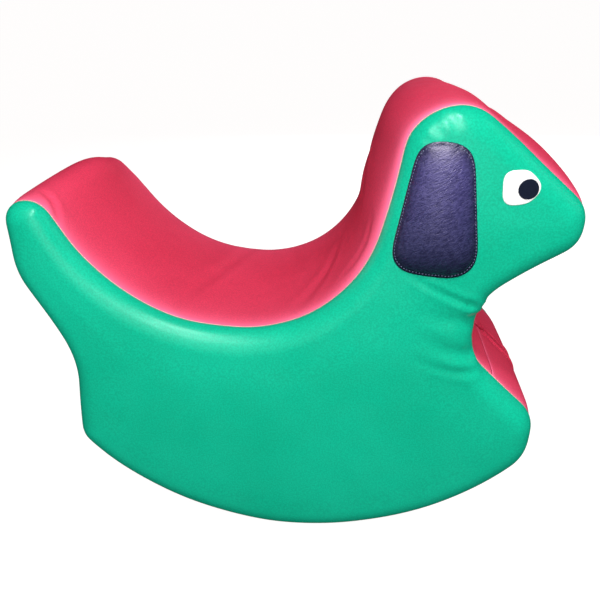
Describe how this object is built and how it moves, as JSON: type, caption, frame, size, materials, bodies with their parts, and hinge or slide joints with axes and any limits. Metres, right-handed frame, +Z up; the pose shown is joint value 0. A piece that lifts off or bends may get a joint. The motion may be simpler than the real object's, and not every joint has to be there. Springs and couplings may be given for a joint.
{
  "type": "soft play rocker",
  "caption": "Dog-shaped soft play rocker: a foam block with a dished seat, a curved sole, a raised tail, a head with padded ears and eyes, and a zipped vinyl cover.",
  "frame": {"origin": "on the floor, under the middle of the overall length and width", "axes": "+X the way the dog faces (the long way), +Y to the dog's left, +Z up"},
  "size_m": [0.6219, 0.32, 0.5474],
  "materials": {
    "foam": "matte",
    "green_vinyl": "satin",
    "red_vinyl": "satin",
    "navy_vinyl": "satin",
    "white_vinyl": "satin",
    "black_vinyl": "satin",
    "red_webbing": "matte",
    "red_nylon": "satin",
    "red_metal": "satin",
    "zip_steel": "satin",
    "wadding": "matte",
    "thread": "matte"
  },
  "bodies": {
    "rocker": {"core_slab_left": "foam", "core_slab_middle": "foam", "core_slab_right": "foam", "side_panel_left": "green_vinyl", "side_panel_right": "green_vinyl", "upper_gusset": "red_vinyl", "lower_gusset_left": "red_vinyl", "lower_gusset_right": "red_vinyl", "zip_tape_left": "red_webbing", "zip_tape_right": "red_webbing", "zip_teeth_left": "red_nylon", "zip_teeth_right": "red_nylon", "zip_stop_chest": "zip_steel", "zip_stop_rump": "zip_steel", "ear_left": "navy_vinyl", "ear_right": "navy_vinyl", "ear_wadding_left": "wadding", "ear_wadding_right": "wadding", "ear_stitches_left": "thread", "ear_stitches_right": "thread", "eye_white_left": "white_vinyl", "eye_white_right": "white_vinyl", "eye_pupil_left": "black_vinyl", "eye_pupil_right": "black_vinyl"},
    "zip_slider_body": {"zip_slider": "red_metal"},
    "zip_pull_body": {"zip_pull": "red_metal"}
  },
  "joints": [
    {"name": "zip_travel", "type": "hinge", "parent": "rocker", "child": "zip_slider_body", "pos_m": [0.0143, 0, 0.36], "axis": [0, -1, 0], "range_deg": [-4, 88]},
    {"name": "pull_swing", "type": "hinge", "parent": "zip_slider_body", "child": "zip_pull_body", "pos_m": [-0.23934, 0, 0.10636], "axis": [0, -1, 0], "range_deg": [-132, 42]}
  ]
}
